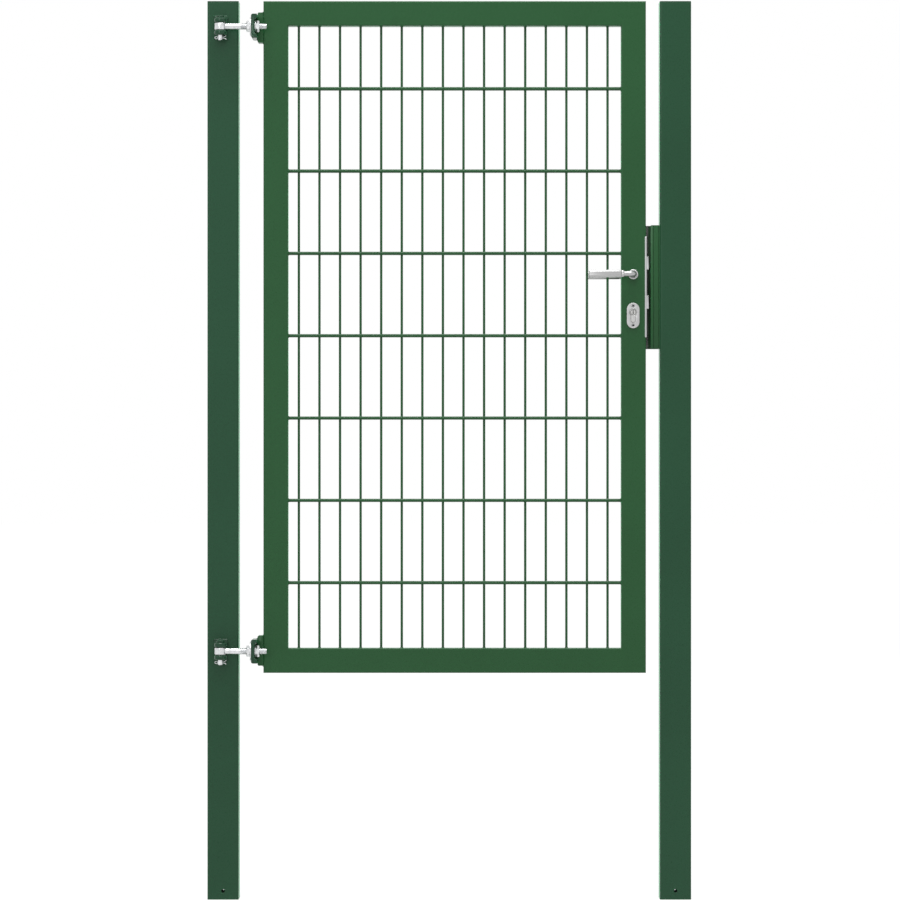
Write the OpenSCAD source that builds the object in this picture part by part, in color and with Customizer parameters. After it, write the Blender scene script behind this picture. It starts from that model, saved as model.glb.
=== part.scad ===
// Single garden gate: a framed double-wire mesh leaf on two adjustable eyebolt hinges,
// with a lever lock and a keep, between two square posts that are set in concrete.
// The origin is the centre of the hinge post's foot. +X runs to the latch post, -Y is
// the side that the leaf opens to, and +Z is up.

/* [Posts] */
// Side of the square post tubes
post_w = 76; // [70:1:100]
// Wall thickness of the post tubes
post_wall = 3; // [2:0.5:4]
// Outer corner radius of the post tubes
post_r = 5; // [4.5:0.5:8]
// Length of post set in concrete, below the ground
post_embed = 500; // [300:10:800]
// Thickness of a post cap's plate
cap_t = 3; // [2:0.5:6]
// Depth of a cap's skirt inside its post
cap_skirt = 12; // [6:1:30]
// Wall thickness of a cap's skirt
skirt_t = 2; // [1:0.5:4]
// Diameter of the cross hole for the anchor rod in a post's foot
anchor_d = 8.5; // [6:0.5:14]
// Height of the anchor hole's axis above the foot
anchor_rise = 21; // [12:1:80]

/* [Leaf frame] */
// Width of the leaf
leaf_w = 928; // [700:1:1400]
// Height of the leaf
leaf_h = 1630; // [1400:10:2400]
// Gap between the ground and the leaf
ground_gap = 50; // [30:5:100]
// Gap between the hinge post and the leaf
hinge_gap = 60; // [54:1:90]
// Gap between the leaf and the latch post
latch_gap = 34; // [28:1:50]
// Width of the frame tubes' faces
frame_face = 60; // [56:1:80]
// Depth of the frame tubes
frame_depth = 40; // [36:1:60]
// Wall thickness of the frame tubes
frame_wall = 2.5; // [2:0.5:4]
// Outer corner radius of the frame tubes
frame_r = 3; // [3:0.5:6]

/* [Mesh] */
// Distance between upright wires
wire_pitch = 50; // [40:1:100]
// Thickness of the upright wires
wire_d = 6; // [4:0.5:8]
// Distance between pairs of level bars
bar_pitch = 200; // [100:5:300]
// Thickness of the level bars
bar_d = 8; // [5:0.5:10]
// Depth that a weld sinks a bar into a wire
weld_sink = 0.5; // [0.2:0.1:1]
// Shift of the wires from the middle of the opening
wire_shift = -3.5; // [-6:0.5:6]
// Shift of the bars from the middle of the opening
bar_shift = 3.5; // [-6:0.5:6]

/* [Hinges] */
// Distance of the upper hinge below the leaf's top
upper_hinge_drop = 64; // [50:1:300]
// Distance of the lower hinge above the leaf's underside
lower_hinge_rise = 54; // [50:1:300]
// Distance of the pins in front of the posts
hinge_out = 30; // [26:1:50]
// Sideways shift of the pins from the post's centre
pin_shift = -5; // [-15:1:10]
// Diameter of the pins
pin_d = 12; // [10:0.5:14]
// Diameter of the pins' heads
pin_head_d = 19; // [17:0.5:24]
// Height of the pins' heads
pin_head_h = 6; // [4:0.5:10]
// Length of pin below the lower knuckle
pin_tail = 12.5; // [11:0.5:25]
// Thickness of the split pins
split_d = 3; // [2:0.1:4]
// Drop of the split pins below the lower knuckle
split_drop = 6.3; // [5:0.1:8]
// Thickness of the wire round the split pins' eyes
split_wire_d = 2.1; // [1.5:0.1:2.5]
// Outer diameter of the split pins' eyes
split_eye_d = 8; // [7.5:0.1:10]
// Overall length of the split pins
split_length = 27.6; // [24:0.1:40]
// Diameter of the post bracket's knuckles
knuckle_d = 30; // [26:1:36]
// Height of one knuckle
knuckle_h = 12; // [8:1:20]
// Play between a knuckle and the eye
knuckle_gap = 0.5; // [0.3:0.1:1]
// Chamfer of the knuckles
knuckle_chamfer = 2.5; // [1:0.5:3]
// Width of the lugs behind the knuckles
lug_w = 22; // [18:1:24]
// Width of the post bracket's plate
plate_w = 30; // [24:1:40]
// Thickness of the post bracket's plate
plate_t = 6; // [4:0.5:8]
// Height of the plate past each knuckle
plate_margin = 6; // [3:1:15]
// Diameter of the eyebolts' eyes
eye_d = 28; // [24:1:32]
// Height of the eyebolts' eyes
eye_h = 17; // [17:1:24]
// Chamfer of the eyebolts' eyes
eye_chamfer = 1.5; // [0.5:0.5:2]
// Diameter of the eyebolts' shanks
bolt_d = 16; // [12:1:16]
// Length of eyebolt past the leaf's edge
bolt_end = 9; // [5:1:30]
// Size of the nuts across their flats
nut_af = 24; // [22:1:27]
// Height of the nuts
nut_h = 9; // [6:1:10]
// Diameter of the outer washers
washer_d = 48; // [30:1:50]
// Diameter of the inner washers
small_washer_d = 30; // [26:1:36]
// Thickness of the washers
washer_t = 3; // [2:0.5:4]

/* [Leaf brackets] */
// Height of the channel that holds an eyebolt
channel_h = 58; // [54:1:80]
// Thickness of the channel's web and legs
channel_t = 8; // [5:0.5:9]
// Depth of the channel
channel_depth = 14; // [12:1:20]
// Length of channel past the eyebolt's axis
channel_reach = 24; // [20:1:40]
// Size of the fillet in the channel's inner corners
channel_fillet = 5; // [1:0.5:6]
// Setback of the channel from the leaf's rear face
channel_setback = 2; // [0:0.5:6]
// Thickness of the flat bar between the channel and the leaf
base_t = 14; // [8:1:16]
// Height of the flat bar
base_h = 73; // [60:1:90]
// Chamfer of the flat bar's ends
base_chamfer = 2; // [1:0.5:4]

/* [Lock] */
// Distance of the spindle behind the leaf's edge
lock_backset = 31; // [29:1:34]
// Height of the lever above the leaf's underside
lever_rise = 967; // [600:1:1100]
// Drop of the key cylinder below the lever
cylinder_drop = 92; // [72:1:110]
// Height of the lock's faceplate
faceplate_h = 245; // [235:1:270]
// Drop of the faceplate's middle below the lever
faceplate_drop = 30.5; // [26:0.5:36]
// Height that the faceplate stands proud of the leaf's edge
faceplate_proud = 2; // [1:0.5:3]
// Height of the lock's case
case_h = 190; // [185:1:210]
// Thickness of the lock's case
case_t = 18; // [16:1:24]
// Space behind the case in its stile
case_gap = 5.5; // [2:0.5:8]
// Width of both bolts, through the leaf
bolt_w = 14; // [12:1:15]
// Width of the latch bolt's blunt nose
latch_nose = 4; // [2:0.5:6]
// Height of the latch bolt
latch_h = 31.5; // [24:0.5:32]
// Length of the latch bolt
latch_length = 37; // [32:1:39]
// Rise of the latch bolt's middle above the lever
latch_rise = 28; // [26:1:34]
// Height of the dead bolt
dead_h = 32; // [24:0.5:32]
// Length of the dead bolt
dead_length = 28; // [26:1:29]
// Rise of the dead bolt's middle above the key cylinder
dead_rise = 25; // [25:1:34]
// Length of bolt that shows past the faceplate
bolt_out = 6; // [3:0.5:7]
// Length that a bolt can slide back into the case
bolt_back = 6.5; // [6.3:0.1:7]

/* [Lever handles] */
// Diameter of the roses
rose_d = 24; // [20:1:30]
// Height of the roses
rose_h = 7; // [4:0.5:10]
// Diameter of the levers' necks
neck_d = 13.5; // [12.5:0.5:16]
// Radius of the levers' elbows
elbow_r = 10; // [9:1:16]
// Distance of the grips' axis from the leaf's face
lever_reach = 48; // [42:1:70]
// Distance from the spindle to the end of the neck
neck_end = 23; // [18:1:30]
// Length of the collar between neck and grip
collar_length = 7; // [3:1:12]
// Length of the grips
grip_length = 79; // [60:1:110]
// Height of the grips
grip_h = 18; // [15:0.5:24]
// Depth of the grips
grip_t = 16; // [14:0.5:20]
// Width of the grips' long bevels
grip_bevel = 4; // [2:0.5:5]
// Width of the grips' end bevels
grip_end_bevel = 1.5; // [0.5:0.5:3]
// Side of the square spindle
spindle_w = 8; // [7:0.5:8]
// Length of spindle inside each lever
spindle_grab = 22; // [15:1:30]
// Diameter of the lock's hub round the spindle
hub_d = 16; // [14:0.5:17]

/* [Key cylinder] */
// Diameter of the round part of the key cylinder
cylinder_d = 17; // [16:0.5:17]
// Width of the flange of the key cylinder
flange_w = 10; // [8:0.5:11]
// Overall height of the key cylinder
cylinder_h = 33; // [30:0.5:34]
// Length that the cylinder stands out of an escutcheon
cylinder_proud = 2; // [1:0.5:4]
// Diameter of the plug that takes the key
plug_d = 13.5; // [11:0.5:14]
// Depth of the groove round the plug
plug_groove = 0.6; // [0.3:0.1:1]
// Height of the keyway
keyway_h = 8.5; // [7:0.5:9]
// Width of the keyway
keyway_w = 2.2; // [1.5:0.1:3]
// Depth of the keyway
keyway_depth = 18; // [10:1:20]
// Width of the escutcheons
escutcheon_w = 31; // [28:1:34]
// Height of the escutcheons
escutcheon_h = 62; // [60:1:70]
// Thickness of the escutcheons
escutcheon_t = 4; // [3:0.5:6]
// Drop of an escutcheon's middle below the cylinder's axis
escutcheon_drop = 8; // [6:0.5:10]
// Distance between the two screws of an escutcheon
escutcheon_pitch = 47; // [46:0.5:50]

/* [Keep] */
// Height of the keep
keep_h = 300; // [270:1:360]
// Thickness of the keep's walls
keep_t = 4; // [3:0.5:5]
// Setback of the keep from the post's front face
keep_setback = 4; // [0:0.5:5]
// Distance from the leaf's edge to the keep's front lip
lip_clear = 12; // [11:0.5:14]
// Overlap of the keep's stop behind the leaf
stop_overlap = 10; // [8:0.5:12]
// Gap between the closed leaf and the stop's buffer
stop_gap = 1; // [0.5:0.5:2]
// Thickness of the buffer
buffer_t = 5; // [3:0.5:6]
// Distance that the buffer reaches past the leaf's edge
buffer_reach = 7; // [5:0.5:9]
// Depth of the buffer's recess beside the faceplate
buffer_recess = 2; // [1:0.5:2.5]
// Distance of the groove from the edge of the keep's lip
groove_set = 6.5; // [5:0.5:9]
// Depth of the groove down the keep's lip
lip_groove = 1; // [0.5:0.1:1.5]
// Distance between the keep's screws
keep_screw_pitch = 125; // [115:1:130]

/* [Screws] */
// Diameter of the keep's screws
keep_screw_d = 6; // [4:0.5:8]
// Diameter of the keep's screw heads
keep_head_d = 12; // [10:0.5:14]
// Height of the keep's screw heads
keep_head_h = 3; // [2:0.5:4]
// Length of the keep's screws under their heads
keep_screw_length = 16; // [12:1:25]
// Diameter of the lock's small screws
small_screw_d = 4; // [3:0.5:4]
// Diameter of the lock's small screw heads
small_head_d = 7.5; // [7:0.5:8]
// Length of the lock's small screws, heads included
small_screw_length = 12; // [10:1:14]
// Distance of a faceplate screw from the plate's end
face_screw_edge = 12; // [8:0.5:16]

/* [Hidden] */
$fn = 48;

// Clearances: round pieces that turn, pieces that slide, and holes for bolts and screws
run_fit = 0.1;
slide_fit = 0.4;
hole_fit = 0.2;
// Extra length that makes a cut run past the faces it goes through
over = 1;
// Smallest inner radius of a tube's corners
tube_min_r = 0.5;

paint = [0.19, 0.33, 0.22];
zinc = [0.76, 0.77, 0.79];
satin = [0.72, 0.72, 0.72];
rubber = [0.33, 0.33, 0.32];

// Planes of the leaf and the posts
front_y = -post_w / 2;
leaf_y0 = front_y;
leaf_y1 = leaf_y0 + frame_depth;
leaf_mid = (leaf_y0 + leaf_y1) / 2;
leaf_x0 = post_w / 2 + hinge_gap;
leaf_x1 = leaf_x0 + leaf_w;
latch_post_x = leaf_x1 + latch_gap + post_w / 2;
latch_face_x = leaf_x1 + latch_gap;
leaf_z0 = post_embed + ground_gap;
leaf_z1 = leaf_z0 + leaf_h;
post_h = leaf_z1 - cap_t;

// Mesh panel
open_w = leaf_w - 2 * frame_face;
open_h = leaf_h - 2 * frame_face;
bar_sides = 8;
wire_margin = 20;
bar_margin = 100;
wires = floor((open_w - 2 * wire_margin) / wire_pitch) + 1;
bars = floor((open_h - 2 * bar_margin) / bar_pitch) + 1;
wire_x0 = leaf_x0 + leaf_w / 2 + wire_shift - (wires - 1) * wire_pitch / 2;
bar_z0 = leaf_z0 + leaf_h / 2 + bar_shift - (bars - 1) * bar_pitch / 2;
bar_offset = (wire_d + bar_d) / 2 - weld_sink;

// Hinges
upper_z = leaf_z1 - upper_hinge_drop;
lower_z = leaf_z0 + lower_hinge_rise;
pin_x = pin_shift;
pin_y = front_y - hinge_out;
knuckle_z = eye_h / 2 + knuckle_gap;
clevis_z = knuckle_z + knuckle_h;
plate_h = 2 * (clevis_z + plate_margin);
edge_chamfer = 1.5;
split_z = -clevis_z - split_drop;
bolt_x1 = leaf_x0 + bolt_end;
channel_x0 = leaf_x0 - base_t - channel_depth;
outer_nut_x = channel_x0 - washer_t - nut_h;
inner_nut_x = channel_x0 + channel_t + washer_t;

// Lock
lock_x = leaf_x1 - lock_backset;
lever_z = leaf_z0 + lever_rise;
cylinder_z = lever_z - cylinder_drop;
face_z = lever_z - faceplate_drop;
face_x0 = leaf_x1 - frame_wall;
face_x1 = leaf_x1 + faceplate_proud;
case_w = frame_face - 2 * frame_wall - case_gap;
latch_z = lever_z + latch_rise;
dead_z = cylinder_z + dead_rise;
tip_x = face_x1 + bolt_out;
head_cone_h = (small_head_d - small_screw_d) / 2;
escutcheon_z = cylinder_z - escutcheon_drop;
cylinder_length = frame_depth + 2 * (escutcheon_t + cylinder_proud);

// Keep
keep_z0 = face_z - keep_h / 2;
keep_y0 = front_y + keep_setback;
lip_x = leaf_x1 + lip_clear;
stop_x = leaf_x1 - stop_overlap;
buffer_y = leaf_y1 + stop_gap;
keep_y1 = buffer_y + buffer_t + keep_t;
keep_screw_y = (keep_y0 + keep_y1) / 2;

// Rectangle with round corners, centred on the origin
module round_rect(w, d, r) {
    square([w - 2 * r, d], center = true);
    square([w, d - 2 * r], center = true);
    for (sx = [-1, 1], sy = [-1, 1])
        translate([sx * (w / 2 - r), sy * (d / 2 - r)]) circle(r);
}

// Upright oval with straight sides, centred on the origin
module oval(w, h) {
    square([w, h - w], center = true);
    for (side = [-1, 1]) translate([0, side * (h - w) / 2]) circle(d = w);
}

// Rectangular hollow section, standing on the origin
module box_tube(w, d, r, wall, length) {
    linear_extrude(length) difference() {
        round_rect(w, d, r);
        round_rect(w - 2 * wall, d - 2 * wall, max(r - wall, tube_min_r));
    }
}

// Round bar with chamfered ends, standing on the origin
module chamfered_bar(d, h, c) {
    rotate_extrude() polygon([[0, 0], [d / 2 - c, 0], [d / 2, c], [d / 2, h - c],
        [d / 2 - c, h], [0, h]]);
}

// Many-sided bar, measured over its flats, standing on the origin
module mesh_bar(d, length) {
    turn = 180 / bar_sides;
    rotate([0, 0, turn]) cylinder(d = d / cos(turn), h = length, $fn = bar_sides);
}

module post(x) {
    color(paint) difference() {
        translate([x, 0, 0]) box_tube(post_w, post_w, post_r, post_wall, post_h);
        translate([x, 0, anchor_rise]) rotate([90, 0, 0])
            cylinder(d = anchor_d, h = post_w + 2 * over, center = true);
    }
}

module hinge_post() {
    post(0);
}

module latch_post() {
    difference() {
        post(latch_post_x);
        keep_screw_places() keep_screw_hole();
    }
}

module post_cap(x) {
    inner = post_w - 2 * post_wall - 2 * hole_fit;
    inner_r = max(post_r - post_wall, tube_min_r);
    color(paint) translate([x, 0, post_h]) {
        linear_extrude(cap_t) round_rect(post_w, post_w, post_r);
        translate([0, 0, -cap_skirt]) box_tube(inner, inner, inner_r, skirt_t, cap_skirt);
    }
}

// Bracket on the post: a plate, and two knuckles on lugs that hold the pin
module post_bracket(z) {
    color(paint) translate([pin_x, pin_y, z]) difference() {
        union() {
            translate([-plate_w / 2, hinge_out - plate_t, -plate_h / 2])
                cube([plate_w, plate_t, plate_h]);
            for (low = [knuckle_z, -clevis_z]) translate([0, 0, low]) {
                chamfered_bar(knuckle_d, knuckle_h, knuckle_chamfer);
                translate([-lug_w / 2, 0, 0]) cube([lug_w, hinge_out - plate_t, knuckle_h]);
            }
        }
        cylinder(d = pin_d + 2 * run_fit, h = plate_h, center = true);
    }
}

// Pin with a round head above, and a cross hole for its split pin below
module hinge_pin(z) {
    color(zinc) translate([pin_x, pin_y, z]) difference() {
        union() {
            translate([0, 0, -clevis_z - pin_tail])
                chamfered_bar(pin_d, 2 * clevis_z + pin_tail + pin_head_h / 2, edge_chamfer);
            translate([0, 0, clevis_z]) chamfered_bar(pin_head_d, pin_head_h, edge_chamfer);
        }
        translate([0, 0, split_z]) rotate([0, 90, 0])
            cylinder(d = split_d + 2 * hole_fit, h = pin_head_d, center = true);
    }
}

// Split pin: an eye beside the hinge pin, and its legs through it
module split_pin(z) {
    eye_x = -pin_d / 2 - split_eye_d / 2 - hole_fit;
    color(zinc) translate([pin_x, pin_y, z + split_z]) {
        translate([eye_x, 0, 0]) rotate([90, 0, 0]) rotate_extrude()
            translate([(split_eye_d - split_wire_d) / 2, 0]) circle(d = split_wire_d);
        translate([eye_x + (split_eye_d - split_wire_d) / 2, 0, 0]) rotate([0, 90, 0])
            cylinder(d = split_d, h = split_length - split_eye_d + split_wire_d / 2);
    }
}

// Eyebolt: an eye on the pin, and a shank towards the leaf
module eyebolt(z) {
    color(zinc) translate([pin_x, pin_y, z]) difference() {
        union() {
            translate([0, 0, -eye_h / 2]) chamfered_bar(eye_d, eye_h, eye_chamfer);
            rotate([0, 90, 0]) chamfered_bar(bolt_d, bolt_x1 - pin_x, edge_chamfer);
        }
        cylinder(d = pin_d + 2 * run_fit, h = eye_h + 2 * over, center = true);
    }
}

// Round washer on an eyebolt, from x on
module washer(z, x, d) {
    translate([x, pin_y, z]) rotate([0, 90, 0]) difference() {
        cylinder(d = d, h = washer_t);
        translate([0, 0, -over]) cylinder(d = bolt_d + 2 * hole_fit, h = washer_t + 2 * over);
    }
}

module washers(z) {
    color(zinc) {
        washer(z, channel_x0 - washer_t, washer_d);
        washer(z, channel_x0 + channel_t, small_washer_d);
    }
}

// Hexagon nut with chamfered corners on an eyebolt, from x on
module nut(z, x) {
    corner_d = nut_af / cos(30);
    color(zinc) translate([x, pin_y, z]) rotate([0, 90, 0]) difference() {
        intersection() {
            cylinder(d = corner_d, h = nut_h, $fn = 6);
            chamfered_bar(corner_d, nut_h, (corner_d - nut_af) / 2);
        }
        translate([0, 0, -over]) cylinder(d = bolt_d + 2 * run_fit, h = nut_h + 2 * over);
    }
}

// Channel across the leaf's edge, open towards the leaf, that the eyebolt passes through
module bracket_channel(z) {
    top = channel_h / 2;
    leg = top - channel_t;
    rear = leaf_y1 - channel_setback;
    color(paint) difference() {
        translate([channel_x0, rear, z]) rotate([90, 0, 0])
            linear_extrude(rear - pin_y + channel_reach) polygon([
                [0, -top], [channel_depth, -top], [channel_depth, -leg],
                [channel_t + channel_fillet, -leg], [channel_t, -leg + channel_fillet],
                [channel_t, leg - channel_fillet], [channel_t + channel_fillet, leg],
                [channel_depth, leg], [channel_depth, top], [0, top]]);
        translate([channel_x0 - over, pin_y, z]) rotate([0, 90, 0])
            cylinder(d = bolt_d + 2 * over, h = channel_t + 2 * over);
    }
}

// Flat bar between the channel and the leaf's stile, with a tongue inside the channel
module bracket_base(z) {
    top = base_h / 2;
    leg = channel_h / 2 - channel_t - hole_fit;
    tongue_x = channel_t - base_t - channel_depth + hole_fit;
    color(paint) translate([leaf_x0, leaf_y1, z]) rotate([90, 0, 0]) {
        linear_extrude(frame_depth) polygon([[0, -top], [0, top], [base_chamfer - base_t, top],
            [-base_t, top - base_chamfer], [-base_t, base_chamfer - top],
            [base_chamfer - base_t, -top]]);
        translate([0, 0, channel_setback]) linear_extrude(frame_depth - 2 * channel_setback)
            polygon([[over - base_t, -leg], [tongue_x + channel_fillet, -leg],
                [tongue_x, channel_fillet - leg], [tongue_x, leg - channel_fillet],
                [tongue_x + channel_fillet, leg], [over - base_t, leg]]);
    }
}

// Upright of the leaf's frame with mitred ends; dir is 1 where the leaf lies to its right
module stile(x, dir) {
    intersection() {
        translate([x + dir * frame_face / 2, leaf_mid, leaf_z0])
            box_tube(frame_face, frame_depth, frame_r, frame_wall, leaf_h);
        translate([x, leaf_y1 + over, leaf_z0]) rotate([90, 0, 0])
            linear_extrude(frame_depth + 2 * over) polygon([[0, 0],
                [dir * frame_face, frame_face], [dir * frame_face, leaf_h - frame_face],
                [0, leaf_h]]);
    }
}

// Rail of the leaf's frame with mitred ends; dir is 1 where the leaf lies above it
module rail(z, dir) {
    color(paint) intersection() {
        translate([leaf_x0, leaf_mid, z + dir * frame_face / 2]) rotate([0, 90, 0])
            box_tube(frame_face, frame_depth, frame_r, frame_wall, leaf_w);
        translate([leaf_x0, leaf_y1 + over, z]) rotate([90, 0, 0])
            linear_extrude(frame_depth + 2 * over) polygon([[0, 0],
                [frame_face, dir * frame_face], [leaf_w - frame_face, dir * frame_face],
                [leaf_w, 0]]);
    }
}

module hinge_stile() {
    color(paint) stile(leaf_x0, 1);
}

module latch_stile() {
    through = frame_depth + 2 * over;
    color(paint) difference() {
        stile(leaf_x1, -1);
        translate([face_x0, leaf_y0 - over, face_z - faceplate_h / 2 - hole_fit])
            cube([frame_wall + over, through, faceplate_h + 2 * hole_fit]);
        across(lever_z, through) circle(d = hub_d + 2 * slide_fit);
        across(cylinder_z, through) cylinder_outline(slide_fit);
        escutcheon_screw_places() cylinder(d = small_screw_d + 2 * run_fit, h = small_screw_length);
    }
}

// Extrudes an outline of the lock through the leaf, centred on its middle plane
module across(z, length) {
    translate([lock_x, leaf_mid, z]) rotate([90, 0, 0])
        linear_extrude(length, center = true) children();
}

module top_rail() {
    rail(leaf_z1, -1);
}

module bottom_rail() {
    rail(leaf_z0, 1);
}

// Double-wire mesh: upright wires between pairs of level bars, welded at each crossing
module mesh_panel() {
    color(paint) union() {
        for (i = [0 : wires - 1])
            translate([wire_x0 + i * wire_pitch, leaf_mid, leaf_z0 + frame_face])
                mesh_bar(wire_d, open_h);
        for (i = [0 : bars - 1], side = [-1, 1])
            translate([leaf_x0 + frame_face, leaf_mid + side * bar_offset, bar_z0 + i * bar_pitch])
                rotate([0, 90, 0]) mesh_bar(bar_d, open_w);
    }
}

// Outline of a profile cylinder, grown by a clearance
module cylinder_outline(grow) {
    foot = cylinder_h - (cylinder_d + flange_w) / 2;
    circle(d = cylinder_d + 2 * grow);
    translate([0, -foot / 2]) square([flange_w + 2 * grow, foot], center = true);
    translate([0, -foot]) circle(d = flange_w + 2 * grow);
}

// Space that a bolt of height h slides in, from back behind its rest
module bolt_space(z, h, length) {
    translate([tip_x - length - bolt_back, leaf_mid - bolt_w / 2 - slide_fit,
        z - h / 2 - slide_fit])
        cube([length + bolt_back, bolt_w + 2 * slide_fit, h + 2 * slide_fit]);
}

module lock_case() {
    color(zinc) difference() {
        translate([face_x0 - case_w, leaf_mid - case_t / 2, face_z - case_h / 2])
            cube([case_w, case_t, case_h]);
        across(lever_z, case_t + 2 * over) circle(d = hub_d + 2 * run_fit);
        across(cylinder_z, case_t + 2 * over) cylinder_outline(hole_fit);
        bolt_space(latch_z, latch_h, latch_length);
        bolt_space(dead_z, dead_h, dead_length);
    }
}

// Places of the faceplate's screws, pointing into the leaf from the plate's face
module face_screw_places() {
    for (side = [-1, 1])
        translate([face_x1, leaf_mid, face_z + side * (faceplate_h / 2 - face_screw_edge)])
            rotate([0, -90, 0]) children();
}

// Screw with a countersunk head whose face lies on the origin, grown by a clearance
module sunk_screw(grow) {
    rotate_extrude() polygon([[0, 0], [small_head_d / 2 + grow, 0],
        [small_screw_d / 2 + grow, head_cone_h], [small_screw_d / 2 + grow, small_screw_length],
        [0, small_screw_length]]);
}

// Hole that a countersunk screw sits in
module sunk_hole() {
    sunk_screw(hole_fit);
    translate([0, 0, -over]) cylinder(d = small_head_d + 2 * hole_fit, h = over);
}

module lock_faceplate() {
    color(zinc) difference() {
        translate([face_x0, leaf_y0, face_z - faceplate_h / 2])
            cube([face_x1 - face_x0, frame_depth, faceplate_h]);
        bolt_space(latch_z, latch_h, latch_length);
        bolt_space(dead_z, dead_h, dead_length);
        face_screw_places() sunk_hole();
    }
}

module faceplate_screws() {
    color(zinc) face_screw_places() sunk_screw(0);
}

module lock_cylinder() {
    color(satin) difference() {
        across(cylinder_z, cylinder_length) cylinder_outline(0);
        for (side = [-1, 1])
            translate([lock_x, leaf_mid + side * cylinder_length / 2, cylinder_z]) {
                rotate([90, 0, 0]) difference() {
                    cylinder(d = plug_d, h = 2 * plug_groove, center = true);
                    cylinder(d = plug_d - 2 * plug_groove, h = 2 * over, center = true);
                }
                cube([keyway_w, 2 * keyway_depth, keyway_h], center = true);
            }
    }
}

// Oval plate round the key cylinder on one face of the leaf
module escutcheon(side) {
    color(satin) difference() {
        translate([lock_x, leaf_mid + side * (frame_depth + escutcheon_t) / 2, escutcheon_z])
            rotate([90, 0, 0]) linear_extrude(escutcheon_t, center = true)
                oval(escutcheon_w, escutcheon_h);
        across(cylinder_z, cylinder_length + 2 * over) cylinder_outline(hole_fit);
        escutcheon_screw_places() sunk_hole();
    }
}

// Places of the escutcheons' screws, pointing into the leaf from both plates' faces
module escutcheon_screw_places() {
    for (side = [-1, 1], up = [-1, 1])
        translate([lock_x, leaf_mid + side * (frame_depth / 2 + escutcheon_t),
            escutcheon_z + up * escutcheon_pitch / 2]) rotate([side * 90, 0, 0]) children();
}

module escutcheon_screws() {
    color(zinc) escutcheon_screw_places() sunk_screw(0);
}

// Collar that a lever's neck turns in
module rose(side) {
    color(satin) translate([lock_x, leaf_mid + side * frame_depth / 2, lever_z])
        rotate([-side * 90, 0, 0]) difference() {
            chamfered_bar(rose_d, rose_h, edge_chamfer / 2);
            translate([0, 0, -over]) cylinder(d = neck_d + 2 * run_fit, h = rose_h + 2 * over);
        }
}

// Lever handle on the front, round the spindle's axis and the leaf's middle plane
module lever_form() {
    face = frame_depth / 2 + hole_fit;
    axis = frame_depth / 2 + lever_reach;
    far = neck_end + collar_length + grip_length;
    difference() {
        union() {
            translate([0, -face, 0]) rotate([90, 0, 0]) cylinder(d = neck_d, h = axis - elbow_r - face);
            translate([-elbow_r, elbow_r - axis, 0]) rotate([0, 0, -90])
                rotate_extrude(angle = 90) translate([elbow_r, 0]) circle(d = neck_d);
            translate([-elbow_r, -axis, 0]) rotate([0, -90, 0])
                cylinder(d = neck_d, h = neck_end - elbow_r);
            translate([-neck_end, -axis, 0]) rotate([0, -90, 0]) rotate_extrude()
                polygon([[0, 0], [neck_d / 2, 0], [grip_t / 2 - grip_end_bevel, collar_length],
                    [0, collar_length]]);
            translate([-far, -axis, 0]) grip();
        }
        translate([0, -face - spindle_grab / 2, 0])
            cube([spindle_w + 2 * run_fit, spindle_grab + 2 * over, spindle_w + 2 * run_fit],
                center = true);
    }
}

// Outline with bevelled corners, centred on the y axis and starting at x = 0
module bevelled_rect(w, h, c) {
    polygon([[0, c - h / 2], [c, -h / 2], [w - c, -h / 2], [w, c - h / 2], [w, h / 2 - c],
        [w - c, h / 2], [c, h / 2], [0, h / 2 - c]]);
}

// Grip with long bevels and bevelled ends, along +X from its tip at the origin
module grip() {
    intersection() {
        translate([0, -grip_t / 2, 0]) rotate([90, 0, 90]) linear_extrude(grip_length)
            bevelled_rect(grip_t, grip_h, grip_bevel);
        rotate([90, 0, 0]) linear_extrude(grip_t, center = true)
            bevelled_rect(grip_length, grip_h, grip_end_bevel);
        linear_extrude(grip_h, center = true)
            bevelled_rect(grip_length, grip_t, grip_end_bevel);
    }
}

module lever(side) {
    color(satin) translate([lock_x, leaf_mid, lever_z]) {
        if (side < 0) lever_form();
        else mirror([0, 1, 0]) lever_form();
    }
}

// Square spindle with the lock's round hub in the middle
module spindle() {
    color(zinc) translate([lock_x, leaf_mid, lever_z]) {
        cube([spindle_w, frame_depth + 2 * spindle_grab, spindle_w], center = true);
        rotate([90, 0, 0]) cylinder(d = hub_d, h = case_t, center = true);
    }
}

// Latch bolt with its slope on the side that meets the keep as the leaf closes
module latch_bolt() {
    slope = bolt_w - latch_nose;
    color(zinc) translate([tip_x - latch_length, leaf_mid - bolt_w / 2, latch_z - latch_h / 2])
        linear_extrude(latch_h) polygon([[0, 0], [latch_length, 0], [latch_length, latch_nose],
            [latch_length - slope, bolt_w], [0, bolt_w]]);
}

module dead_bolt() {
    color(zinc) translate([tip_x - dead_length, leaf_mid - bolt_w / 2, dead_z - dead_h / 2])
        cube([dead_length, bolt_w, dead_h]);
}

// Keep: a lip in front of the bolts and a stop behind the leaf, on a flange on the post
module keep_profile() {
    groove_x = lip_x + groove_set;
    color(paint) difference() {
        translate([0, 0, keep_z0]) linear_extrude(keep_h) polygon([
            [lip_x, keep_y0], [groove_x - lip_groove, keep_y0], [groove_x, keep_y0 + lip_groove],
            [groove_x + lip_groove, keep_y0], [latch_face_x, keep_y0],
            [latch_face_x, keep_y1], [stop_x, keep_y1], [stop_x, keep_y1 - keep_t],
            [latch_face_x - keep_t, keep_y1 - keep_t], [latch_face_x - keep_t, keep_y0 + keep_t],
            [lip_x, keep_y0 + keep_t]]);
        keep_screw_places() keep_screw_hole();
    }
}

// Places of the keep's screws, pointing into the post from the flange's face
module keep_screw_places() {
    for (i = [-1 : 1])
        translate([latch_face_x - keep_t, keep_screw_y, face_z + i * keep_screw_pitch])
            rotate([0, 90, 0]) children();
}

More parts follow.
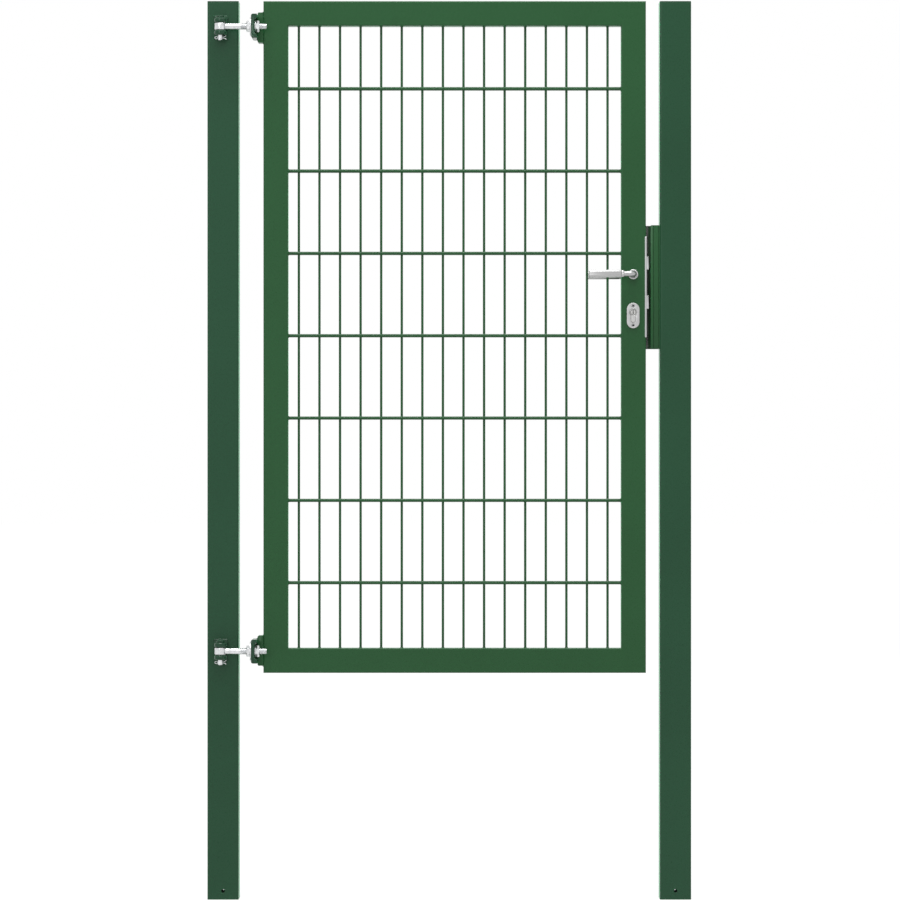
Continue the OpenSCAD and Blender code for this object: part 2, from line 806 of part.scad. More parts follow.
module keep_screw_hole() {
    translate([0, 0, -over])
        cylinder(d = keep_screw_d + 2 * hole_fit, h = keep_screw_length + over);
}

module keep_screws() {
    color(zinc) keep_screw_places() {
        translate([0, 0, -keep_head_h]) cylinder(d = keep_head_d, h = keep_head_h);
        cylinder(d = keep_screw_d, h = keep_screw_length);
    }
}

// Rubber strip on the stop, thinner beside the lock's faceplate
module keep_buffer() {
    color(rubber) difference() {
        translate([stop_x, buffer_y, keep_z0])
            cube([stop_overlap + buffer_reach, buffer_t, keep_h]);
        translate([leaf_x1, buffer_y - over, face_z - faceplate_h / 2])
            cube([buffer_reach + over, buffer_recess + over, faceplate_h]);
    }
}

hinge_post();
latch_post();
post_cap(0);  // hinge_post_cap
post_cap(latch_post_x);  // latch_post_cap
post_bracket(upper_z);  // upper_post_bracket
post_bracket(lower_z);  // lower_post_bracket
hinge_pin(upper_z);  // upper_hinge_pin
hinge_pin(lower_z);  // lower_hinge_pin
split_pin(upper_z);  // upper_split_pin
split_pin(lower_z);  // lower_split_pin
hinge_stile();
latch_stile();
top_rail();
bottom_rail();
mesh_panel();
bracket_base(upper_z);  // upper_bracket_base
bracket_base(lower_z);  // lower_bracket_base
bracket_channel(upper_z);  // upper_bracket_channel
bracket_channel(lower_z);  // lower_bracket_channel
eyebolt(upper_z);  // upper_eyebolt
eyebolt(lower_z);  // lower_eyebolt
washers(upper_z);  // upper_washers
washers(lower_z);  // lower_washers
nut(upper_z, outer_nut_x);  // upper_outer_nut
nut(lower_z, outer_nut_x);  // lower_outer_nut
nut(upper_z, inner_nut_x);  // upper_inner_nut
nut(lower_z, inner_nut_x);  // lower_inner_nut
lock_case();
lock_faceplate();
faceplate_screws();
lock_cylinder();
escutcheon(-1);  // front_escutcheon
escutcheon(1);  // rear_escutcheon
escutcheon_screws();
rose(-1);  // front_rose
rose(1);  // rear_rose
lever(-1);  // front_lever
lever(1);  // rear_lever
spindle();
latch_bolt();
dead_bolt();
keep_profile();
keep_buffer();
keep_screws();
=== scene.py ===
from math import acos, copysign, cos, pi, radians, sin, tan
from types import SimpleNamespace

import bmesh
import bpy
from mathutils import Matrix, Vector


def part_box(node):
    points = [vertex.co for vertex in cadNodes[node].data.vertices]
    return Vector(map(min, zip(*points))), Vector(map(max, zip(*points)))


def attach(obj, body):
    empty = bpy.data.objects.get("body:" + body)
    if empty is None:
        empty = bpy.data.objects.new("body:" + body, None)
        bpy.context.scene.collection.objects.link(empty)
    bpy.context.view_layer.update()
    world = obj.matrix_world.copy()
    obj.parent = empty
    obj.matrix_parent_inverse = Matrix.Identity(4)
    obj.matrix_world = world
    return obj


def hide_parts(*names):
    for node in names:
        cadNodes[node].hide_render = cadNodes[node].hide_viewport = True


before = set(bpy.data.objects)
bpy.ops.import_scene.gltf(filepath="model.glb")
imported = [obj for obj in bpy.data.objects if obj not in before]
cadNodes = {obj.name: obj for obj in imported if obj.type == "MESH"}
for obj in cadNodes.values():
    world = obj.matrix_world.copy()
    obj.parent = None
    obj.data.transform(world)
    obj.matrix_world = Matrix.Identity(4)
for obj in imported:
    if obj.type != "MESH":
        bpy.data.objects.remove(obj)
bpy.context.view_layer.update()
print("frame loaded:", len(cadNodes), "nodes")


# gives inputs of a node a value, a socket or a list of sockets
def feed(tree, node, inputs):
    for key, value in inputs.items():
        for source in value if isinstance(value, list) else [value]:
            if isinstance(source, bpy.types.NodeSocket):
                tree.links.new(source, node.inputs[key])
            else:
                node.inputs[key].default_value = source
    return node


def put(tree, kind, inputs=None, **settings):
    node = tree.nodes.new(kind)
    for key, value in settings.items():
        setattr(node, key, value)
    return feed(tree, node, inputs or {})


# the first output of a geometry node
def geo(tree, kind, inputs=None, **settings):
    return put(tree, "GeometryNode" + kind, inputs, **settings).outputs[0]


def calc(tree, operation, first, second=0.0):
    return put(tree, "ShaderNodeMath", {0: first, 1: second}, operation=operation).outputs[0]


def triple(tree, x=0.0, y=0.0, z=0.0):
    return put(tree, "ShaderNodeCombineXYZ", {0: x, 1: y, 2: z}).outputs[0]


def link(name, data):
    piece = bpy.data.objects.new(name, data)
    bpy.context.collection.objects.link(piece)
    return piece


studio = dict(
    cameraDistance=12.0,      # from the posts' front faces
    viewWidth=2.1834,         # covered by the picture at those faces
    aim=(0.5507, 1.0909),     # x and z of the picture's middle
    sensor=36.0, farClip=400.0,
    airLight=0.5,             # what the air gives to matt surfaces
    floorSize=120.0, floorTone=0.8, floorLight=1.16,
    floorGlow=0.8,            # share of the floor that the camera sees as plain white
    overhead=dict(place=(0.1, -3.4, 6.3), aim=(0.55, 0.0, 1.2), size=(6.0, 2.6), power=125),
    topLight=dict(place=(0.55, -1.0, 5.6), aim=(0.55, 0.0, 1.2), size=(4.0, 0.9), power=125),
    frontFill=dict(place=(-4.5, -13.5, 4.5), aim=(0.55, 0.0, 1.1), size=(3.0, 3.0), power=150),
    rearFill=dict(place=(6.0, 12.0, 5.5), aim=(0.55, 0.0, 1.1), size=(3.0, 3.0), power=260),
)


def softLamp(name, look):
    light = bpy.data.lights.new(name, "AREA")
    light.shape = "RECTANGLE"
    light.size, light.size_y = look["size"]
    light.energy = look["power"]
    lamp = link(name, light)
    lamp.visible_camera = False
    lamp.location = look["place"]
    lamp.rotation_euler = (Vector(look["aim"]) - lamp.location).to_track_quat("-Z", "Y").to_euler()


# 1 for the rays that show the backdrop, to the eye or in a shiny surface
def backdropRays(tree):
    ray = put(tree, "ShaderNodeLightPath").outputs
    shiny = calc(tree, "MAXIMUM", ray["Is Glossy Ray"], ray["Is Transmission Ray"])
    return calc(tree, "MAXIMUM", ray["Is Camera Ray"], shiny)


def buildCamera():
    lens = bpy.data.cameras.new("frontCamera")
    lens.sensor_width = studio["sensor"]
    lens.lens = studio["sensor"] * studio["cameraDistance"] / studio["viewWidth"]
    lens.clip_end = studio["farClip"]
    camera = link("frontCamera", lens)
    x, z = studio["aim"]
    camera.location = (x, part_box("hinge_post")[0][1] - studio["cameraDistance"], z)
    camera.rotation_euler = (radians(90), 0, 0)
    bpy.context.scene.camera = camera


def buildAir():
    world = bpy.data.worlds.new("studioAir")
    world.use_nodes = True
    bpy.context.scene.world = world
    tree = world.node_tree
    seen = backdropRays(tree)
    level = put(tree, "ShaderNodeMix", {"Factor": seen, "A": studio["airLight"], "B": 1.0}).outputs[0]
    feed(tree, tree.nodes["Background"], {"Color": (1, 1, 1, 1), "Strength": level})


def buildFloor():
    bpy.ops.mesh.primitive_plane_add(size=studio["floorSize"], location=(studio["aim"][0], 0, 0))
    floor = bpy.context.object
    floor.name = "studioFloor"
    material = bpy.data.materials.new("paleFloor")
    material.use_nodes = True
    tree = material.node_tree
    tree.nodes.clear()
    seen = backdropRays(tree)
    tone = studio["floorTone"]
    matt = put(tree, "ShaderNodeBsdfDiffuse", {"Color": (tone, tone, tone, 1)})
    glow = put(tree, "ShaderNodeEmission", {"Color": (1, 1, 1, 1), "Strength": studio["floorLight"]})
    share = calc(tree, "MULTIPLY", seen, studio["floorGlow"])
    blend = put(tree, "ShaderNodeMixShader", {0: share, 1: matt.outputs[0], 2: glow.outputs[0]})
    put(tree, "ShaderNodeOutputMaterial", {"Surface": blend.outputs[0]})
    floor.data.materials.append(material)


bpy.context.scene.view_settings.view_transform = "Standard"
buildCamera()
for name in ("overhead", "topLight", "frontFill", "rearFill"):
    softLamp(name, studio[name])
buildAir()
buildFloor()
print("studio ready")


# base of every finish: its material, its shader and the place on the piece
def newFinish(name, metallic=0.0, specular=0.5):
    material = bpy.data.materials.new(name)
    material.use_nodes = True
    tree = material.node_tree
    shader = feed(tree, tree.nodes["Principled BSDF"], {"Metallic": metallic, "Specular IOR Level": specular})
    return material, tree, shader, put(tree, "ShaderNodeTexCoord").outputs["Object"]


detail = dict(patch=3.0, grain=2.0, peel=1.5)    # of the noises


def noise(tree, place, scale, kind="patch", stretch=(1, 1, 1)):
    if stretch != (1, 1, 1):
        place = put(tree, "ShaderNodeMapping", {"Vector": place, "Scale": stretch}).outputs[0]
    return put(tree, "ShaderNodeTexNoise", {
        "Vector": place, "Scale": scale, "Detail": detail[kind]}).outputs[0]


# spreads a noise, which mostly lies between 0.3 and 0.7, over a range
def between(tree, factor, low=0.0, high=1.0):
    return put(tree, "ShaderNodeMapRange", {0: factor, 1: 0.3, 2: 0.7, 3: low, 4: high}).outputs[0]


def tint(tree, factor, look):
    return put(tree, "ShaderNodeMix", {
        0: factor, 6: (*look["dark"], 1), 7: (*look["light"], 1)}, data_type="RGBA").outputs[2]


# fine bumps, over edges that the shader rounds by a radius
def relief(tree, height, depth, edge=None):
    inputs = {"Height": height, "Strength": 1.0, "Distance": depth}
    if edge:
        inputs["Normal"] = put(tree, "ShaderNodeBevel", {"Radius": edge}, samples=6).outputs[0]
    return put(tree, "ShaderNodeBump", inputs).outputs[0]


coatLook = dict(
    leaf=dict(dark=(0.0115, 0.0740, 0.0200), light=(0.0140, 0.0840, 0.0245)),
    post=dict(dark=(0.0085, 0.0570, 0.0230), light=(0.0105, 0.0660, 0.0275)),
    bracket=dict(dark=(0.0105, 0.0520, 0.0240), light=(0.0150, 0.0620, 0.0310)),
    driftScale=2.6,           # slow change of the green over the tubes
    peelScale=620.0,          # orange peel of the powder coat
    peelDepth=0.000006,
    roughness=(0.26, 0.34), matRoughness=(0.16, 0.22), bracketRoughness=(0.14, 0.20),
    sheen=0.45, bracketSheen=0.15, sheenRoughness=0.3,
    sheenTint=(0.15, 0.85, 0.36, 1),    # green that a coated face keeps when it is seen almost edge on
    specular=0.28,
    edgeRadius=0.0009,        # how far the coat rounds a sharp edge
)


def powderCoat(name, tones, roughness="roughness", sheen="sheen", edge=coatLook["edgeRadius"]):
    material, tree, shader, place = newFinish(name, specular=coatLook["specular"])
    drift = noise(tree, place, coatLook["driftScale"])
    peel = noise(tree, place, coatLook["peelScale"], "peel")
    feed(tree, shader, {
        "Base Color": tint(tree, between(tree, drift), coatLook[tones]),
        "Roughness": between(tree, peel, *coatLook[roughness]),
        "Normal": relief(tree, peel, coatLook["peelDepth"], edge),
        "Sheen Weight": coatLook[sheen], "Sheen Roughness": coatLook["sheenRoughness"],
        "Sheen Tint": coatLook["sheenTint"]})
    return material


metalLook = dict(
    zinc=dict(dark=(0.57, 0.58, 0.59), light=(0.80, 0.81, 0.82), patch=140.0, stretch=(1, 1, 1),
              roughness=(0.20, 0.33), grain=1500.0, depth=0.000006, edge=0.0004),
    steel=dict(dark=(0.425, 0.43, 0.435), light=(0.515, 0.52, 0.525), patch=900.0, stretch=(1, 1, 0.03),
               roughness=(0.28, 0.40), grain=2200.0, depth=0.000005, edge=0.0004),
    aluminium=dict(dark=(0.455, 0.455, 0.455), light=(0.54, 0.54, 0.54), patch=700.0, stretch=(0.04, 1, 1),
                   roughness=(0.30, 0.40), grain=1800.0, depth=0.000004, edge=0.0004),
    nickel=dict(dark=(0.50, 0.50, 0.49), light=(0.58, 0.58, 0.57), patch=300.0, stretch=(1, 1, 1),
                roughness=(0.22, 0.32), grain=1800.0, depth=0.000004, edge=0.0002),
    leverTones=dict(dark=(0.42, 0.42, 0.42), light=(0.48, 0.48, 0.48)),
    boltTones=dict(dark=(0.56, 0.56, 0.57), light=(0.66, 0.66, 0.67)),
)


def metal(name, look):
    material, tree, shader, place = newFinish(name, metallic=1.0)
    patch = noise(tree, place, look["patch"], "patch", look["stretch"])
    grain = noise(tree, place, look["grain"], "grain", look["stretch"])
    feed(tree, shader, {
        "Base Color": tint(tree, between(tree, patch), look),
        "Roughness": between(tree, grain, *look["roughness"]),
        "Normal": relief(tree, grain, look["depth"], look["edge"])})
    return material


rubberLook = dict(dark=(0.218, 0.232, 0.216), light=(0.288, 0.305, 0.285), scale=240.0,
                  specular=0.35, roughness=(0.55, 0.75), grain=1400.0, depth=0.00004)


def rubber(name):
    look = rubberLook
    material, tree, shader, place = newFinish(name, specular=look["specular"])
    bloom = noise(tree, place, look["scale"])
    grain = noise(tree, place, look["grain"], "grain")
    feed(tree, shader, {
        "Base Color": tint(tree, bloom, look), "Roughness": between(tree, grain, *look["roughness"]),
        "Normal": relief(tree, grain, look["depth"])})
    return material


# near-black tones of the painted shade in recesses
recessShadeLook = dict(dark=(0.004, 0.004, 0.004), light=(0.012, 0.012, 0.012), scale=900.0, roughness=0.7,
                  specular=0.1)


# painted shade: a near-black colour at the bottom of a screw's recess and on the core behind the keyway
def paintRecessShade(name):
    material, tree, shader, place = newFinish(name, specular=recessShadeLook["specular"])
    paintedShade = tint(tree, noise(tree, place, recessShadeLook["scale"], "grain"), recessShadeLook)
    feed(tree, shader, {"Base Color": paintedShade, "Roughness": recessShadeLook["roughness"]})
    return material


leafCoat = powderCoat("leafCoat", "leaf")
postCoat = powderCoat("postCoat", "post")
frameCoat = powderCoat("frameCoat", "leaf", edge=None)
matCoat = powderCoat("matCoat", "leaf", "matRoughness")
bracketCoat = powderCoat("bracketCoat", "bracket", "bracketRoughness", "bracketSheen")
zinc = metal("zincPlate", metalLook["zinc"])
steel = metal("brushedSteel", metalLook["steel"])
aluminium = metal("satinAluminium", metalLook["aluminium"])
nickel = metal("nickelPlate", metalLook["nickel"])
softRubber = rubber("bufferRubber")
finishes = dict(zinc_plate=zinc, stainless_steel=steel, satin_aluminium=aluminium, nickel_plate=nickel,
                buffer_rubber=softRubber)
leverFinish = metal("brushedLever", {**metalLook["aluminium"], **metalLook["leverTones"]})
boltFinish = metal("polishedBolt", {**metalLook["steel"], **metalLook["boltTones"]})
# painted shade for screw recesses and for the core behind the keyway
recessShade = paintRecessShade("shadedRecess")
# the frame's tubes have round corners of their own, and their ground mitres show no line
greens = dict.fromkeys(("hinge_post", "latch_post", "hinge_post_cap", "latch_post_cap"), postCoat)
greens.update(dict.fromkeys(("hinge_stile", "latch_stile", "top_rail", "bottom_rail"), frameCoat))
for node, item in cadNodes.items():
    for place in item.material_slots:
        slotName = place.material.name.split(".")[0]
        place.material = finishes.get(slotName, greens.get(node, leafCoat))
print("finishes ready")


# a tree of Geometry Nodes with named sizes; the path is the mesh that it starts from
def newTree(name, sizes):
    tree = bpy.data.node_groups.new(name, "GeometryNodeTree")
    kinds = {int: "NodeSocketInt", float: "NodeSocketFloat", tuple: "NodeSocketVector"}
    tree.interface.new_socket("Piece", in_out="OUTPUT", socket_type="NodeSocketGeometry")
    tree.interface.new_socket("Path", in_out="INPUT", socket_type="NodeSocketGeometry")
    for label, value in sizes.items():
        tree.interface.new_socket(label, in_out="INPUT", socket_type=kinds[type(value)]).default_value = value
    tree.interface.new_socket("Finish", in_out="INPUT", socket_type="NodeSocketMaterial")
    return tree, tree.nodes.new("NodeGroupInput").outputs


# ends a tree: its parts are joined, moved, made real and given their finish
def closeTree(tree, parts, finish, move=None):
    joined = geo(tree, "JoinGeometry", {"Geometry": parts})
    if move:
        joined = geo(tree, "Transform", {"Geometry": joined, **move})
    real = geo(tree, "RealizeInstances", {"Geometry": joined})
    put(tree, "NodeGroupOutput", {0: geo(tree, "SetMaterial", {"Geometry": real, "Material": finish})})


# a random factor for each point
def swell(tree, size):
    return put(tree, "FunctionNodeRandomValue", {
        2: size["Least Swell"], 3: size["Most Swell"], "Seed": size["Seed"]}).outputs[1]


def ball(tree, segments, rings):
    return geo(tree, "MeshUVSphere", {"Segments": segments, "Rings": rings, "Radius": 1.0})


# the plain mesh of a piece, with its modifiers and trees worked in
def plain(piece):
    mesh = bpy.data.meshes.new_from_object(piece.evaluated_get(bpy.context.evaluated_depsgraph_get()))
    if piece.type == "MESH":
        piece.modifiers.clear()
        piece.data = mesh
        return piece
    name = piece.name
    bpy.data.objects.remove(piece)
    return link(name, mesh)


# the mesh that a tree makes with the values of its named inputs
def grow(name, tree, values, finish, path=None):
    piece = link(name, path or bpy.data.meshes.new(name))
    modifier = piece.modifiers.new(name, "NODES")
    modifier.node_group = tree
    for item in tree.interface.items_tree:
        if item.in_out == "INPUT" and item.name in values:
            modifier[item.identifier] = values[item.name]
        if item.name == "Finish":
            modifier[item.identifier] = finish
    return plain(piece)


sharpFrom = dict(usual=32, small=25, mat=40)    # degrees between faces whose edge stays sharp


def shade(mesh, angle):
    mesh.shade_smooth()
    mesh.set_sharp_from_angle(angle=radians(angle))


# joins parts into one piece, hangs it on its body's empty and hides the CAD node that it stands for
def fit(name, parts, body, node, edges="usual"):
    bm = bmesh.new()
    materials = []
    for part in parts:
        mesh = part.data
        own = list(mesh.materials)
        for material in own:
            if material not in materials:
                materials.append(material)
        for face in mesh.polygons:
            face.material_index = materials.index(own[face.material_index])
        bm.from_mesh(mesh)
        bpy.data.objects.remove(part)
    mesh = bpy.data.meshes.new(name)
    bm.to_mesh(mesh)
    bm.free()
    for material in materials:
        mesh.materials.append(material)
    shade(mesh, sharpFrom[edges])
    piece = link(name, mesh)
    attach(piece, body)
    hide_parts(node)


# corners, middle and size of a node's box
def boxOf(node):
    low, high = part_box(node)
    return SimpleNamespace(low=low, high=high, mid=[(a + b) / 2 for a, b in zip(low, high)],
                           span=[b - a for a, b in zip(low, high)])


mergeDistance = 1e-6


def fromBmesh(name, bm, finish):
    bmesh.ops.remove_doubles(bm, verts=bm.verts, dist=mergeDistance)
    bmesh.ops.recalc_face_normals(bm, faces=bm.faces)
    mesh = bpy.data.meshes.new(name)
    bm.to_mesh(mesh)
    bm.free()
    mesh.materials.append(finish)
    return link(name, mesh)


# a band of faces between two rings, either of which may be a single point
def stitch(bm, low, high):
    for i in range(max(len(low), len(high))):
        corners = [low[i % len(low)], low[(i + 1) % len(low)], high[(i + 1) % len(high)], high[i % len(high)]]
        corners = list(dict.fromkeys(corners))
        if len(corners) > 2:
            bm.faces.new(corners)


def loft(name, rings, finish, closed=False, capped=False):
    bm = bmesh.new()
    loops = [[bm.verts.new(point) for point in ring] for ring in rings]
    for low, high in zip(loops, loops[1:] + (loops[:1] if closed else [])):
        stitch(bm, low, high)
    if capped:
        bm.faces.new(loops[0])
        bm.faces.new(loops[-1])
    return fromBmesh(name, bm, finish)


# rounds the corners of an outline; a corner may name its own radius as a third number
def soften(outline, radius, steps=3):
    points = []
    most = 0.49      # share of a side that a rounding may take
    for i, corner in enumerate(outline):
        here, last, following = (Vector(outline[k % len(outline)][:2]) for k in (i, i - 1, i + 1))
        reach = corner[2] if len(corner) > 2 else radius
        if reach == 0:
            points.append(tuple(here))
            continue
        back, ahead = last - here, following - here
        cut = min(reach / tan(back.angle(ahead) / 2), most * back.length, most * ahead.length)
        start, end = here + back.normalized() * cut, here + ahead.normalized() * cut
        for k in range(steps + 1):
            t = k / steps
            points.append(tuple(start * (1 - t) ** 2 + here * 2 * t * (1 - t) + end * t * t))
    return points


# turns z to an axis and moves to an origin
def aim(origin, axis):
    turn = Vector((0, 0, 1)).rotation_difference(Vector(axis)).to_matrix().to_4x4()
    return Matrix.Translation(origin) @ turn


# turned on a lathe: the profile is (radius, along) pairs about the axis
def turned(name, profile, place, finish, sides=48, closed=False):
    rings = []
    for radius, along in profile:
        count = sides if radius > 0 else 1
        angles = [2 * pi * k / sides for k in range(count)]
        rings.append([place @ Vector((radius * cos(a), radius * sin(a), along)) for a in angles])
    return loft(name, rings, finish, closed=closed)


# a plate cut from a 2D outline with holes, its edges rounded, its middle plane at the place
def cutPlate(name, outlines, thickness, edge, place, finish):
    flat = bpy.data.curves.new(name, "CURVE")
    flat.dimensions = "2D"
    flat.fill_mode = "BOTH"
    flat.extrude = thickness / 2 - edge
    flat.bevel_depth = edge
    flat.bevel_resolution = 2
    flat.offset = -edge
    for outline in outlines:
        spline = flat.splines.new("POLY")
        spline.points.add(len(outline) - 1)
        for point, corner in zip(spline.points, outline):
            point.co = (corner[0], corner[1], 0, 1)
        spline.use_cyclic_u = True
    piece = plain(link(name, flat))
    bm = bmesh.new()
    bm.from_mesh(piece.data)
    bpy.data.objects.remove(piece)
    bm.transform(place)
    return fromBmesh(name, bm, finish)


def arc(x, z, radius, start, turn, steps):
    angles = [start + turn * k / steps for k in range(steps + 1)]
    return [(x + radius * cos(a), z + radius * sin(a)) for a in angles]


def circle(x, z, radius, sides=40):
    return arc(x, z, radius, 0.0, 2 * pi, sides)[:-1]


def softenEdges(piece, width, segments, smoothAngle, sharpAngle):
    shade(piece.data, smoothAngle)
    softener = piece.modifiers.new("edges", "BEVEL")
    softener.width = width
    softener.segments = segments
    softener.limit_method = "ANGLE"
    softener.angle_limit = radians(sharpAngle)
    softener.harden_normals = True
    return plain(piece)


roundLook = dict(
    merge=2e-6, flat=0.6,               # distance and degrees under which the CAD mesh is made simpler
    smooth=30, sharp=28,                # degrees between faces that are shaded or rounded
    onSide=1e-5, crossing=0.01,         # finds the edges of a channel's outer side that run across it
    bendSegments=6,
)


# a copy of a CAD node's shape with its sharp edges rounded, and its outer bends on the low x side
def rounded(name, node, edge, finish, segments=2, bend=0.0):
    look = roundLook
    bm = bmesh.new()
    bm.from_mesh(cadNodes[node].data)
    bmesh.ops.remove_doubles(bm, verts=bm.verts, dist=look["merge"])
    bmesh.ops.dissolve_limit(bm, angle_limit=radians(look["flat"]), verts=bm.verts, edges=bm.edges)
    if bend:
        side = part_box(node)[0][0]
        bends = [line for line in bm.edges
                 if all(abs(corner.co.x - side) < look["onSide"] for corner in line.verts)
                 and abs(line.verts[0].co.y - line.verts[1].co.y) > look["crossing"]
                 and len({round(face.normal.x) for face in line.link_faces}) == 2]
        bmesh.ops.bevel(bm, geom=bends, offset=bend, segments=look["bendSegments"], affect="EDGES",
                        profile=0.5)
    piece = fromBmesh(name, bm, finish)
    return softenEdges(piece, edge, segments, look["smooth"], look["sharp"])


matLook = {
    "Corner": (0.0, 0.0, 0.0), "Width": 0.8, "Height": 1.5,
    "Wires": 16, "First Wire": 0.0255, "Wire Pitch": 0.05,    # the first from the mat's left end
    "Bars": 7, "First Bar": 0.1585, "Bar Pitch": 0.2,         # the first from the mat's lower end
    "Wire Radius": 0.003, "Wire Sides": 14, "Bar Radius": 0.004, "Bar Sides": 18,
    "Bar Reach": 0.0065,                   # from the mat's middle to a bar's
    "Nugget": (0.0046, 0.0017, 0.0050),    # half sizes of the spread weld at a crossing
    "Nugget Reach": 0.0029, "Least Swell": 0.88, "Most Swell": 1.1, "Seed": 7,
    "Bar Collar": 0.0055, "Wire Collar": 0.0045, "Collar Height": 0.0022,    # radii of the welds at the frame
}


def buildMatTree():
    tree, size = newTree("doubleWireMat", matLook)

    def row(count, start, step):
        return geo(tree, "MeshLine", {"Count": count, "Start Location": start, "Offset": step})

    def rod(end, kind):
        line = geo(tree, "CurvePrimitiveLine", {"End": end})
        ring = geo(tree, "CurvePrimitiveCircle", {
            "Resolution": size[kind + " Sides"], "Radius": size[kind + " Radius"]})
        return geo(tree, "CurveToMesh", {"Curve": line, "Profile Curve": ring, "Fill Caps": True})

    def cone(kind):
        return geo(tree, "MeshCone", {
            "Vertices": size["Wire Sides"], "Radius Top": size[kind + " Radius"],
            "Radius Bottom": size[kind + " Collar"], "Depth": size["Collar Height"]})

    def spread(points, shape, **more):
        return geo(tree, "InstanceOnPoints", {"Points": points, "Instance": shape, **more})

    acrossStep = triple(tree, size["Wire Pitch"])
    upStep = triple(tree, z=size["Bar Pitch"])
    wirePoints = row(size["Wires"], triple(tree, size["First Wire"]), acrossStep)
    parts = [spread(wirePoints, rod(triple(tree, z=size["Height"]), "Wire"))]
    bar = rod(triple(tree, size["Width"]), "Bar")
    for side in (1.0, -1.0):
        reach = calc(tree, "MULTIPLY", size["Bar Reach"], side)
        nuggetReach = calc(tree, "MULTIPLY", size["Nugget Reach"], side)
        parts.append(spread(row(size["Bars"], triple(tree, y=reach, z=size["First Bar"]), upStep), bar))
        # a nugget where each bar crosses each wire
        crossings = row(size["Bars"], triple(tree, y=nuggetReach, z=size["First Bar"]), upStep)
        crossings = geo(tree, "RealizeInstances", {"Geometry": spread(wirePoints, crossings)})
        girth = put(tree, "ShaderNodeVectorMath", {
            0: size["Nugget"], "Scale": swell(tree, size)}, operation="SCALE")
        parts.append(spread(crossings, ball(tree, segments=10, rings=6), Scale=girth.outputs[0]))
        # weld collars where the bars meet the stiles
        for end, lean in ((0.0, 1), (size["Width"], -1)):
            ends = row(size["Bars"], triple(tree, end, reach, size["First Bar"]), upStep)
            parts.append(spread(ends, cone("Bar"), Rotation=(0, lean * pi / 2, 0)))
    # weld collars where the wires meet the rails
    for end, lean in ((0.0, 0), (size["Height"], pi)):
        ends = row(size["Wires"], triple(tree, size["First Wire"], 0.0, end), acrossStep)
        parts.append(spread(ends, cone("Wire"), Rotation=(lean, 0, 0)))
    closeTree(tree, parts, size["Finish"], {"Translation": size["Corner"]})
    return tree


def buildMat():
    box = boxOf("mesh_panel")
    mat = grow("mat", buildMatTree(), {
        "Corner": [box.low[0], box.mid[1], box.low[2]], "Width": box.span[0], "Height": box.span[2]}, matCoat)
    fit("doubleWireMat", [mat], "leaf", "mesh_panel", edges="mat")


buildMat()
print("double wire mat ready")


boltLook = dict(
    eyeBore=0.0061, eyeSoft=0.0026, eyeInner=0.0012,    # and the rounding of its outer and inner rims
    shankStart=0.0085,                     # from the pin's axis
    shankRadius=0.0076,                    # plain part, as wide as the thread's middle
    neckRadius=0.0079, neckReach=0.016,    # from the pin's axis to the end of the neck's swell
    neckFlare=0.0003, neckTaper=0.003,
    threadStart=0.050, threadSlope=0.001,
    tip=0.0016, tipHeight=0.0004,          # chamfer of the bolt's end
    runOut=(0.0005, 0.0002),               # length of thread past its start and its end
)
threadLook = {"Start": (0.0, 0.0, 0.0), "Length": 0.05, "Root": 0.00685, "Crest": 0.0080, "Pitch": 0.002,
              "Steps": 26}


# the ridge of a thread: a diamond wound round the shank along x
def buildThreadTree():
    tree, size = newTree("boltThread", threadLook)
    turns = calc(tree, "DIVIDE", size["Length"], size["Pitch"])
    spiral = geo(tree, "CurveSpiral", {
        "Resolution": size["Steps"], "Rotations": turns, "Start Radius": size["Root"],
        "End Radius": size["Root"], "Height": size["Length"]})
    spiral = geo(tree, "SetCurveNormal", {"Curve": spiral}, mode="Z_UP")
    height = calc(tree, "SUBTRACT", size["Crest"], size["Root"])
    diamond = geo(tree, "CurvePrimitiveCircle", {"Resolution": 4, "Radius": height})
    ridge = geo(tree, "CurveToMesh", {"Curve": spiral, "Profile Curve": diamond, "Fill Caps": True})
    closeTree(tree, [ridge], size["Finish"], {"Translation": size["Start"], "Rotation": (0, pi / 2, 0)})
    return tree


weldLook = {"Step": 0.0013, "Width": 0.0023, "Thickness": 0.0021, "Least Swell": 0.94, "Most Swell": 1.06,
            "Seed": 3}


# scales of a hand-laid weld along a path
def buildWeldTree():
    tree, size = newTree("weldBead", weldLook)
    line = geo(tree, "MeshToCurve", {"Mesh": size["Path"]})
    line = geo(tree, "ResampleCurve", {"Curve": line, "Length": size["Step"]}, mode="LENGTH")
    along = geo(tree, "InputTangent")
    turn = put(tree, "FunctionNodeAlignRotationToVector", {"Vector": along}, axis="Z").outputs[0]
    girth = calc(tree, "MULTIPLY", size["Width"], swell(tree, size))
    beads = geo(tree, "InstanceOnPoints", {
        "Points": line, "Instance": ball(tree, segments=12, rings=7), "Rotation": turn,
        "Scale": triple(tree, girth, girth, size["Thickness"])})
    closeTree(tree, [beads], size["Finish"])
    return tree


threadTree = buildThreadTree()
weldTree = buildWeldTree()


def weld(name, paths, finish):
    mesh = bpy.data.meshes.new(name)
    points, edges = [], []
    for path in paths:
        edges += [(len(points) + k, len(points) + k + 1) for k in range(len(path) - 1)]
        points += path
    mesh.from_pydata(points, edges, [])
    return grow(name, weldTree, {}, finish, mesh)


nutLook = dict(
    bore=0.0070, boreChamfer=0.0008,
    face=0.475,       # radius of its flat face, as a share of its size across the flats
    slope=30,         # degrees at which its corners are turned off
    around=72,        # points in a ring
)


